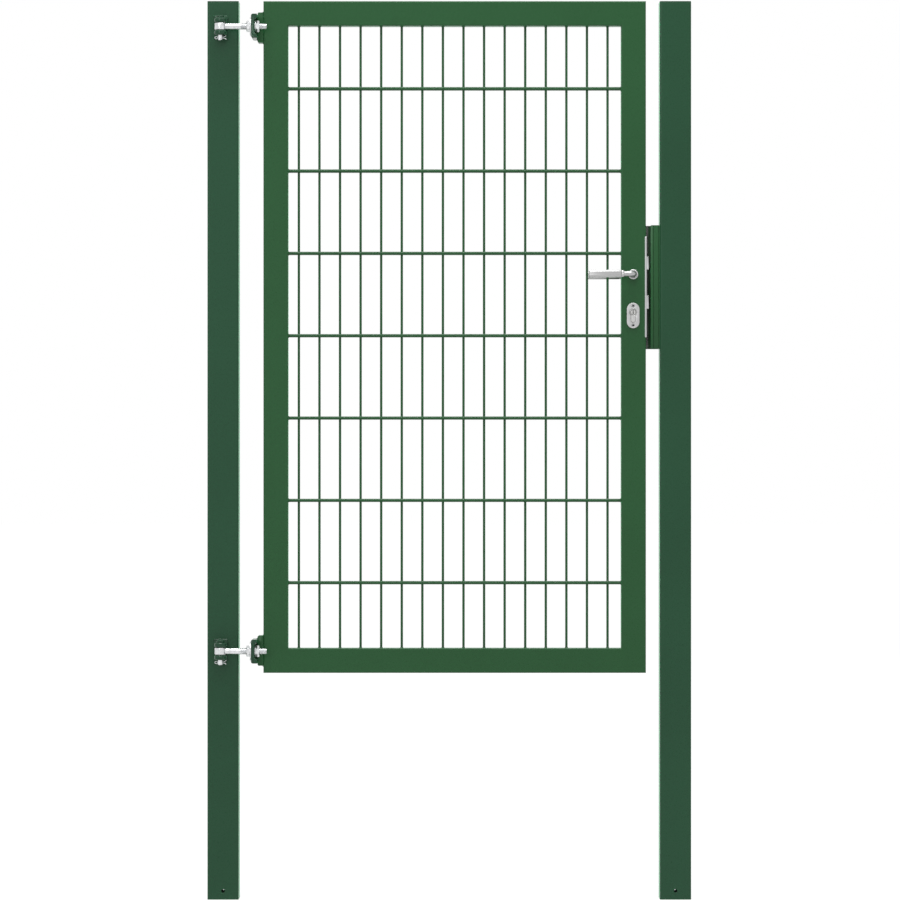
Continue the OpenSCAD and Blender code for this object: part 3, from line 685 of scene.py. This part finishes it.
# hexagon nut along x: rings from the bore over one chamfered face to the other
def nut(node):
    look = nutLook
    box = boxOf(node)
    flats, half = box.span[1], box.span[0] / 2
    face, bore, chamfer = look["face"] * flats, look["bore"], look["boreChamfer"]
    slope = tan(radians(look["slope"]))
    place = aim(box.mid, (1, 0, 0))

    def ring(radius, along):
        points = []
        for k in range(look["around"]):
            angle = 2 * pi * k / look["around"]
            corner = flats / 2 / cos((angle + pi / 6) % (pi / 3) - pi / 6)
            reach = radius or corner
            drop = max(0.0, (reach - face) * slope)
            upright = angle + pi / 6      # turns two corners up and down
            points.append(place @ Vector((reach * cos(upright), reach * sin(upright),
                                          along - copysign(drop, along))))
        return points

    section = [(bore, -half + chamfer), (bore + chamfer, -half), (face, -half), (None, -half),
               (None, half), (face, half), (bore + chamfer, half), (bore, half - chamfer)]
    return loft(node, [ring(*corner) for corner in section], zinc, closed=True)


washerLook = dict(bore=0.0085, edge=0.0006, boreEdge=0.0002, smallRadius=0.015, thickness=0.003)


def washer(name, radius, low, high, centre):
    bore, edge = washerLook["bore"], washerLook["edge"]
    outline = [(bore, low), (radius, low, edge), (radius, high, edge), (bore, high)]
    return turned(name, soften(outline, washerLook["boreEdge"]), aim((0, *centre), (1, 0, 0)), zinc,
                  sides=64, closed=True)


pinLook = dict(
    radius=0.0060, tailChamfer=0.0015,
    headHeight=0.006, headChamfer=0.0016, headEdge=0.0004,
)


def hingePin(level):
    look, name = pinLook, level + "Pin"
    box = boxOf(level + "_hinge_pin")
    radius, wide = look["radius"], box.span[1] / 2
    centre = (box.high[0] - wide, box.mid[1])
    place = aim((*centre, 0), (0, 0, 1))
    foot, top = box.low[2], box.high[2]
    seat = top - look["headHeight"]
    tail, chamfer, edge = look["tailChamfer"], look["headChamfer"], look["headEdge"]
    body = [(0, foot), (radius - tail, foot), (radius, foot + tail), (radius, seat), (0, seat)]
    head = [(0, seat), (wide - edge, seat), (wide, seat + edge), (wide, top - chamfer),
            (wide - chamfer, top), (0, top)]
    parts = [turned(name, body, place, zinc, sides=40), turned(name + "Head", head, place, bracketCoat)]
    return parts, centre


splitLook = dict(
    wire=0.00155,                              # thickness of one leg
    loop=0.0042, loopSize=(0.0032, 0.0030),    # the loop's middle from the left end, and its half sizes
    opening=38, loopSteps=10,                  # degrees from the loop's axis to each leg's start
    straight=(-0.0066, 0.0068),                # where the straight legs end, counted from the pin's axis
    upper=((0.0004, 0.0012, 0.0052), (-0.0016, 0, 0.0030)),      # bends of the spread legs, counted
    lower=((-0.0012, 0, -0.0026), (0.0012, -0.0010, -0.0042)),   # from the split pin's right end
)


# bent from one wire: a loop at the left, two legs through the pin, their ends spread
def splitPin(level, centre):
    look, name = splitLook, level + "Split"
    box = boxOf(level + "_split_pin")
    z, y = box.mid[2], centre[1]
    gap = look["wire"] / 2
    loopX = box.low[0] + look["loop"]
    left, right = (centre[0] + reach for reach in look["straight"])
    path = [(box.high[0] + a, y + b, z + c) for a, b, c in look["upper"]]
    path += [(right, y, z + gap), (left, y, z + gap)]
    wide, tall = look["loopSize"]
    for k in range(look["loopSteps"] + 1):
        angle = radians(look["opening"] + (360 - 2 * look["opening"]) * k / look["loopSteps"])
        path.append((loopX + wide * cos(angle), y, z + tall * sin(angle)))
    path += [(left, y, z - gap), (right, y, z - gap)]
    path += [(box.high[0] + a, y + b, z + c) for a, b, c in look["lower"]]
    wire = bpy.data.curves.new(name, "CURVE")
    wire.dimensions = "3D"
    wire.bevel_depth = gap
    wire.bevel_resolution = 3
    wire.use_fill_caps = True
    wire.resolution_u = 5
    spline = wire.splines.new("NURBS")
    spline.points.add(len(path) - 1)
    for point, corner in zip(spline.points, path):
        point.co = (*corner, 1)
    spline.order_u = 3
    spline.use_endpoint_u = True
    wire.materials.append(zinc)
    return plain(link(name, wire))


def eyebolt(level, centre):
    look, name = boltLook, level + "Bolt"
    box = boxOf(level + "_eyebolt")
    outer, half = box.span[1] / 2, box.span[2] / 2
    x, y, z = *centre, box.mid[2]
    bore, inner = look["eyeBore"], look["eyeInner"]
    outline = [(bore, -half, inner), (outer, -half), (outer, half), (bore, half, inner)]
    eye = turned(name + "Eye", soften(outline, look["eyeSoft"], steps=5), aim((x, y, z), (0, 0, 1)), zinc,
                 sides=64, closed=True)
    start, end = x + look["shankStart"], box.high[0]
    neckEnd, threaded = x + look["neckReach"], x + look["threadStart"]
    neck, plainPart, root = look["neckRadius"], look["shankRadius"], threadLook["Root"]
    shank = [(0, start), (neck + look["neckFlare"], start), (neck, neckEnd - look["neckTaper"]),
             (plainPart, neckEnd), (plainPart, threaded - look["threadSlope"]), (root, threaded),
             (root, end - look["tipHeight"]), (root - look["tip"], end), (0, end)]
    rod = turned(name + "Shank", shank, aim((0, y, z), (1, 0, 0)), zinc)
    before, after = look["runOut"]
    thread = grow(name + "Thread", threadTree, {
        "Start": [threaded - before, y, z], "Length": end - threaded - look["tip"] + after}, zinc)
    return [eye, rod, thread]


bracketLook = dict(edge=0.0010, channelEdge=0.0007, channelBend=0.0045, baseEdge=0.0006)


# the clevis on the post, with its weld round the plate
def buildClevis(level):
    node = level + "_post_bracket"
    low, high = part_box(node)
    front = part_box("hinge_post")[0][1]
    ends = (low, high)
    corners = [(ends[a][0], front, ends[b][2]) for a, b in ((0, 0), (1, 0), (1, 1), (0, 1), (0, 0))]
    form = rounded(node, node, bracketLook["edge"], bracketCoat, 3)
    fit(level + "PostBracket", [form, weld(level + "PlateWeld", [corners], bracketCoat)],
        "posts", node)


# the channel and its bar, welded to each other and to the leaf
def buildChannel(level):
    look, inset = bracketLook, weldLook["Width"]
    channel, base = level + "_bracket_channel", level + "_bracket_base"
    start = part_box(base)[0][1] + inset
    for part, node, edge, bend, coat in (
            ("Channel", channel, look["channelEdge"], look["channelBend"], bracketCoat),
            ("Base", base, look["baseEdge"], 0.0, leafCoat)):
        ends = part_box(node)
        x, rear = ends[1][0], ends[1][1] - inset
        seams = [[(x, start, end[2]), (x, rear, end[2])] for end in ends]
        form = rounded(node, node, edge, coat, bend=bend)
        fit(level + "Bracket" + part, [form, weld(level + part + "Weld", seams, coat)],
            "leaf", node)


def buildHinge(level):
    pinParts, centre = hingePin(level)
    fit(level + "HingePin", pinParts, "posts", level + "_hinge_pin")
    fit(level + "SplitPin", [splitPin(level, centre)], "posts", level + "_split_pin")
    fit(level + "EyeBolt", eyebolt(level, centre), "leaf", level + "_eyebolt")
    for side in ("outer", "inner"):
        node = level + "_" + side + "_nut"
        fit(level + side.capitalize() + "Nut", [nut(node)], "leaf", node, edges="small")
    middle = (centre[1], boxOf(level + "_eyebolt").mid[2])
    radius = boxOf(level + "_washers").span[2] / 2
    start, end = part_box(level + "_outer_nut")[1][0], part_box(level + "_bracket_channel")[0][0]
    large = washer(level + "WideWasher", radius, start, end, middle)
    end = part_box(level + "_inner_nut")[0][0]
    start = end - washerLook["thickness"]
    small = washer(level + "SmallWasher", washerLook["smallRadius"], start, end, middle)
    fit(level + "Washers", [large, small], "leaf", level + "_washers")
    buildClevis(level)
    buildChannel(level)


for level in ("upper", "lower"):
    buildHinge(level)
print("hinges ready")


leverLook = dict(
    neckRadius=0.00675, elbow=0.010, elbowSteps=12, neckEnd=0.023,     # from the spindle to the neck's end
    collar=0.007, collarFlare=1.06, collarStep=0.0012, collarInsets=(0.0013, 0.0005),
    gripDeep=0.016, bevel=(0.0024, 0.0040), endBevel=0.0015, startBevel=0.0008,
    softEdge=0.0005, smooth=20, sharp=25,
)


# outline of the grip, with the same number of points on each of its eight sides
def gripOutline(deep, high, onSide=4):
    w, h = deep / 2, high / 2
    inW, inH = w - leverLook["bevel"][0], h - leverLook["bevel"][1]
    corners = [(w, -inH), (w, inH), (inW, h), (-inW, h), (-w, inH), (-w, -inH), (-inW, -h), (inW, -h)]
    points = []
    for a, b in zip(corners, corners[1:] + corners[:1]):
        points += [Vector(a).lerp(Vector(b), k / onSide) for k in range(onSide)]
    return points


# a round neck with an elbow, an eight-sided collar and the bevelled grip
def lever(kind, side):
    look, name = leverLook, kind + "Lever"
    box = boxOf(kind + "_lever")
    deep, tall = look["gripDeep"], box.span[2]
    ring = [p.normalized() * look["neckRadius"] for p in gripOutline(deep, tall)]
    neckX, z = box.high[0] - look["neckRadius"], box.mid[2]
    face = box.high[1] if side < 0 else box.low[1]
    axisY = (box.low[1] if side < 0 else box.high[1]) - side * deep / 2
    out, left = Vector((0, side, 0)), Vector((-1, 0, 0))

    def section(outline, x, y, ahead):
        across = Vector((-ahead.y, ahead.x, 0)) * -side
        return [Vector((x, y, z)) + across * p.x + Vector((0, 0, p.y)) for p in outline]

    def octagon(x, inset):
        return section(gripOutline(deep - 2 * inset, tall - 2 * inset), x, axisY, left)

    rings = [section(ring, neckX, face, out)]
    bend, steps = look["elbow"], look["elbowSteps"]
    for k in range(steps + 1):
        angle = pi / 2 * k / steps
        ahead = out * cos(angle) + left * sin(angle)
        x = neckX - bend * (1 - cos(angle))
        rings.append(section(ring, x, axisY - side * bend * (1 - sin(angle)), ahead))
    neckEnd = neckX - look["neckEnd"]
    rings.append(section(ring, neckEnd, axisY, left))
    parts = [loft(name + "Neck", rings, leverFinish, capped=True)]
    start, end, bevel = neckEnd - look["collar"], box.low[0], look["endBevel"]
    near, far = look["collarInsets"]
    flared = section([p * look["collarFlare"] for p in ring], neckEnd, axisY, left)
    collar = [flared, octagon(neckEnd - look["collarStep"], near), octagon(start, far)]
    grip = [octagon(start, bevel), octagon(start - look["startBevel"], 0.0),
            octagon(end + bevel, 0.0), octagon(end, bevel)]
    for part, rings in (("Collar", collar), ("Grip", grip)):
        piece = loft(name + part, rings, leverFinish, capped=True)
        parts.append(softenEdges(piece, look["softEdge"], 2, look["smooth"], look["sharp"]))
    return parts


roseLook = dict(
    bore=0.0071, groove=0.0080, grooveDepth=0.0014, grooveSlope=0.0006,
    rim=0.0011, rimSoft=0.0004, soft=0.0005,
)


def rose(kind, side):
    look = roseLook
    box = boxOf(kind + "_rose")
    radius, height = box.span[0] / 2, box.span[1]
    rim, groove, floor = look["rim"], look["groove"], height - look["grooveDepth"]
    outline = [(look["bore"], 0, 0), (radius, 0, 0), (radius, height - rim / 2, look["rimSoft"]),
               (radius - rim, height), (groove + look["grooveSlope"], height), (groove, floor, 0),
               (look["bore"], floor, 0)]
    place = aim((box.mid[0], (box.high if side < 0 else box.low)[1], box.mid[2]), (0, side, 0))
    return turned(kind + "Rose", soften(outline, look["soft"]), place, aluminium, sides=64, closed=True)


cylinderLook = dict(
    body=0.0085, foot=0.005, drop=0.0195,      # radius, half width of the foot, its axis below the plug's
    bodyEdge=0.0003, groove=0.0010,            # width of the groove round the plug
    plug=0.0061, plugEdge=0.0002, plugShort=0.0006,
    # the core is a near-black disc of painted shade behind the plug
    core=0.0072, coreInset=0.0030,
    keyway=((-0.0015, -0.0044), (0.0007, -0.0044), (0.0007, -0.0022), (0.0015, -0.0014), (0.0015, 0.0008),
            (0.0006, 0.0014), (0.0006, 0.0028), (0.0012, 0.0034), (0.0012, 0.0046), (-0.0012, 0.0046),
            (-0.0012, 0.0022), (-0.0006, 0.0016), (-0.0006, -0.0006), (-0.0015, -0.0014)),
)


# outline of a profile cylinder: a round body and a foot under it
def profileOutline(x, z, gap=0.0):
    radius, foot = cylinderLook["body"] + gap, cylinderLook["foot"] + gap
    start = -acos(foot / radius)
    return (arc(x, z, radius, start, pi - 2 * start, steps=30)
            + arc(x, z - cylinderLook["drop"], foot, pi, pi, steps=12))


def stadium(x, z, width, height):
    lift = (height - width) / 2
    return (arc(x, z + lift, width / 2, 0.0, pi, steps=16)
            + arc(x, z - lift, width / 2, pi, pi, steps=16))


# plates that lie across the leaf: the outline's y is up and its thickness runs along y
def acrossLeaf(y):
    return Matrix.Translation((0, y, 0)) @ Matrix.Rotation(pi / 2, 4, "X")


screwSizes = "Face Radius", "Seat Radius", "Depth", "Recess", "Recess Depth"
screwLook = dict(
    escutcheon=(0.00375, 0.0020, 0.0018, 0.0026, 0.0015),
    faceplate=(0.0037, 0.0020, 0.0018, 0.0045, 0.0011),
    keep=(0.0046, 0.0060, 0.0030, 0.0058, 0.0014),
    sides=32, holeGap=0.0001,
    crossWidth=0.22,    # width of a cross recess, as a share of its length
)


# screw heads on points; each head faces along the point's aim
def buildScrewTree(name, crossed):
    tree, size = newTree(name, dict(zip(screwSizes, screwLook["keep"])))
    head = geo(tree, "MeshCone", {
        "Vertices": screwLook["sides"], "Radius Top": size["Face Radius"],
        "Radius Bottom": size["Seat Radius"], "Depth": size["Depth"]})
    lower = triple(tree, z=calc(tree, "MULTIPLY", size["Depth"], -1.0))
    head = geo(tree, "Transform", {"Geometry": head, "Translation": lower})
    deep = calc(tree, "MULTIPLY", size["Recess Depth"], 2.0)
    if crossed:
        narrow = calc(tree, "MULTIPLY", size["Recess"], screwLook["crossWidth"])
        cutters = [geo(tree, "MeshCube", {"Size": triple(tree, *pair, deep)})
                   for pair in ((size["Recess"], narrow), (narrow, size["Recess"]))]
    else:
        cutters = [geo(tree, "MeshCylinder", {"Vertices": 6, "Radius": size["Recess"], "Depth": deep})]
    # the recess's faces are painted near-black as shade
    for cutter in cutters:
        dark = geo(tree, "SetMaterial", {"Geometry": cutter, "Material": recessShade})
        head = geo(tree, "MeshBoolean", {"Mesh 1": head, "Mesh 2": dark}, operation="DIFFERENCE")
    facing = geo(tree, "InputNamedAttribute", {"Name": "aim"}, data_type="FLOAT_VECTOR")
    turn = put(tree, "FunctionNodeAlignRotationToVector", {"Vector": facing}, axis="Z").outputs[0]
    heads = geo(tree, "InstanceOnPoints", {"Points": size["Path"], "Instance": head, "Rotation": turn})
    real = geo(tree, "RealizeInstances", {"Geometry": heads})
    # every face outside the painted-shade recess takes the screw's metal
    recessed = geo(tree, "MaterialSelection", {"Material": recessShade})
    metalFaces = put(tree, "FunctionNodeBooleanMath", {0: recessed}, operation="NOT").outputs[0]
    put(tree, "NodeGroupOutput", {0: geo(tree, "SetMaterial", {
        "Geometry": real, "Selection": metalFaces, "Material": size["Finish"]})})
    return tree


crossTree = buildScrewTree("crossScrew", True)
socketTree = buildScrewTree("socketScrew", False)


# screw heads at places of a plate, all facing one way
def fitScrews(name, kind, tree, places, facing, body, slotName):
    mesh = bpy.data.meshes.new(name + "Heads")
    mesh.from_pydata(places, [], [])
    for value in mesh.attributes.new("aim", "FLOAT_VECTOR", "POINT").data:
        value.vector = facing
    sizes = dict(zip(screwSizes, screwLook[kind]))
    heads = grow(name + "Heads", tree, sizes, finishes[slotName], mesh)
    fit(name, [heads], body, kind + "_screws", edges="small")


def screwHole(kind, across, up):
    return circle(across, up, screwLook[kind][0] + screwLook["holeGap"])


escutcheonLook = dict(edge=0.0009, screwPitch=0.047, cylinderGap=0.0003, headSink=0.0002)


# a plate with the cylinder's hole and two countersunk screws
def buildEscutcheon(name, side, x, z):
    look = escutcheonLook
    box = boxOf(name + "_escutcheon")
    heights = [box.mid[2] + lift * look["screwPitch"] / 2 for lift in (-1, 1)]
    outlines = [stadium(x, box.mid[2], box.span[0], box.span[2]), profileOutline(x, z, look["cylinderGap"])]
    outlines += [screwHole("escutcheon", x, height) for height in heights]
    plate = cutPlate(name + "Plate", outlines, box.span[1], look["edge"], acrossLeaf(box.mid[1]), aluminium)
    fit(name + "Escutcheon", [plate], "leaf", name + "_escutcheon")
    face = (box.low if side < 0 else box.high)[1] - side * look["headSink"]
    places = [(x, face, height) for height in heights]
    fitScrews(name + "EscutcheonScrews", "escutcheon", socketTree, places, (0, side, 0), "leaf",
              "stainless_steel")


# the cylinder: body, plug with its keyway, and behind both a core of painted shade, a near-black disc seen
# through the keyway
def buildCylinder(x, z):
    look = cylinderLook
    box = boxOf("lock_cylinder")
    length, place = box.span[1], acrossLeaf(box.mid[1])
    outlines = [profileOutline(x, z), circle(x, z, look["plug"] + look["groove"])]
    body = cutPlate("cylinderBody", outlines, length, look["bodyEdge"], place, nickel)
    outlines = [circle(x, z, look["plug"]), [(x + a, z + b) for a, b in look["keyway"]]]
    plug = cutPlate("cylinderPlug", outlines, length - look["plugShort"], look["plugEdge"], place, nickel)
    radius, depth = look["core"], length / 2 - look["coreInset"]
    core = turned("cylinderShadeCore", [(0, -depth), (radius, -depth), (radius, depth), (0, depth)],
                  aim((x, box.mid[1], z), (0, 1, 0)), recessShade, sides=40)
    fit("lockCylinder", [body, plug, core], "leaf", "lock_cylinder")


def buildLock():
    box = boxOf("lock_cylinder")
    x, z = box.mid[0], box.high[2] - cylinderLook["body"]
    for name, side in (("front", -1), ("rear", 1)):
        fit(name + "Lever", lever(name, side), "handle", name + "_lever")
        fit(name + "Rose", [rose(name, side)], "leaf", name + "_rose")
        buildEscutcheon(name, side, x, z)
    buildCylinder(x, z)


buildLock()
print("lock furniture ready")


faceplateLook = dict(
    edge=0.0005, corner=0.002,
    screwEdge=0.012, headSink=0.0001,    # from the plate's ends to the screws
    boltGap=0.0004, boltCorner=0.0006, boltEdge=0.0008,
)


# outline in y and z of a box, wider by a gap and with rounded corners
def endOutline(low, high, corner, steps, gap=0.0):
    left, right, foot, top = low[1] - gap, high[1] + gap, low[2] - gap, high[2] + gap
    return soften([(left, foot), (right, foot), (right, top), (left, top)], corner, steps)


def buildFaceplate():
    look = faceplateLook
    box = boxOf("lock_faceplate")
    x, y = box.mid[:2]
    heights = (box.low[2] + look["screwEdge"], box.high[2] - look["screwEdge"])
    outlines = [endOutline(box.low, box.high, look["corner"], steps=5)]
    for node in ("latch_bolt", "dead_bolt"):
        outlines.append(endOutline(*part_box(node), look["boltCorner"], 2, look["boltGap"]))
    outlines += [screwHole("faceplate", y, height) for height in heights]
    place = Matrix(((0, 0, 1, x), (1, 0, 0, 0), (0, 1, 0, 0), (0, 0, 0, 1)))
    plate = cutPlate("plate", outlines, box.span[0], look["edge"], place, steel)
    fit("lockFaceplate", [plate], "leaf", "lock_faceplate")
    places = [(box.high[0] - look["headSink"], y, height) for height in heights]
    fitScrews("faceplateScrews", "faceplate", crossTree, places, (1, 0, 0), "leaf", "stainless_steel")
    for name, node, body in (("latchBolt", "latch_bolt", "latch"), ("deadBolt", "dead_bolt", "deadbolt")):
        form = rounded(name + "Form", node, look["boltEdge"], boltFinish, 3)
        fit(name, [form], body, node)


buildFaceplate()
print("faceplate and bolts ready")


keepLook = dict(
    edge=0.0006,
    grooves=(0.0155, 0.0029), grooveWidth=0.0015, grooveDepth=0.0024,    # grooves from the right side
    ribs=6, ribGap=0.0011, ribDepth=0.0009, ribFloor=0.4, ribSoft=0.0003,
    recess=0.002, recessRibs=3, plateGap=0.0005,    # step that leaves room for the faceplate
)


# cross section of the buffer: ribs along its striking face
def ribbedOutline(x0, x1, strike, base, ribs):
    points = [(x1, base), (x0, base)]
    pitch, half = (x1 - x0) / ribs, keepLook["ribGap"] / 2
    floor, bottom = half * keepLook["ribFloor"], strike + keepLook["ribDepth"]
    for k in range(ribs):
        a, b = x0 + k * pitch, x0 + (k + 1) * pitch
        start = a if k == 0 else a + half
        stop = b if k == ribs - 1 else b - half
        points += [(start, strike), (stop, strike)]
        if k < ribs - 1:
            points += [(b - floor, bottom), (b + floor, bottom)]
    return soften(points, keepLook["ribSoft"], 2)


# the bent profile with its two grooves
def buildKeepProfile():
    look = keepLook
    form = rounded("keepForm", "keep_profile", look["edge"], leafCoat)
    box = boxOf("keep_profile")
    for setBack in look["grooves"]:
        place = Matrix.LocRotScale((box.high[0] - setBack, box.low[1], box.mid[2]), None,
                                   (look["grooveWidth"], 2 * look["grooveDepth"], 2 * box.span[2]))
        bm = bmesh.new()
        bmesh.ops.create_cube(bm, size=1, matrix=place)
        cutter = fromBmesh("grooveCutter", bm, leafCoat)
        cut = form.modifiers.new("groove", "BOOLEAN")
        cut.operation, cut.object = "DIFFERENCE", cutter
        form = plain(form)
        bpy.data.objects.remove(cutter)
    fit("keepProfile", [form], "posts", "keep_profile")


# the rubber strip, which steps back beside the faceplate
def buildKeepBuffer():
    look = keepLook
    low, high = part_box("keep_buffer")
    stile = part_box("latch_stile")[1][0]
    plateLow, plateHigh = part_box("lock_faceplate")
    whole = [ribbedOutline(low[0], high[0], low[1], high[1], look["ribs"])]
    stepped = [ribbedOutline(low[0], stile, low[1], high[1], look["recessRibs"]),
               ribbedOutline(stile, high[0], low[1] + look["recess"], high[1], look["recessRibs"])]
    levels = (low[2], plateLow[2] - look["plateGap"], plateHigh[2] + look["plateGap"], high[2])
    strips = []
    for bottom, top, outlines in zip(levels, levels[1:], (whole, stepped, whole)):
        for outline in outlines:
            rings = [[(x, y, level) for x, y in outline] for level in (bottom, top)]
            strips.append(loft("strip", rings, softRubber, capped=True))
    fit("keepBuffer", strips, "posts", "keep_buffer")


def buildKeepScrews():
    box = boxOf("keep_screws")
    rise = screwLook["keep"][1]
    heights = (box.low[2] + rise, box.mid[2], box.high[2] - rise)
    places = [(box.low[0], box.mid[1], height) for height in heights]
    fitScrews("keepScrews", "keep", crossTree, places, (-1, 0, 0), "posts", "zinc_plate")



buildKeepProfile()
buildKeepBuffer()
buildKeepScrews()
print("keep ready")
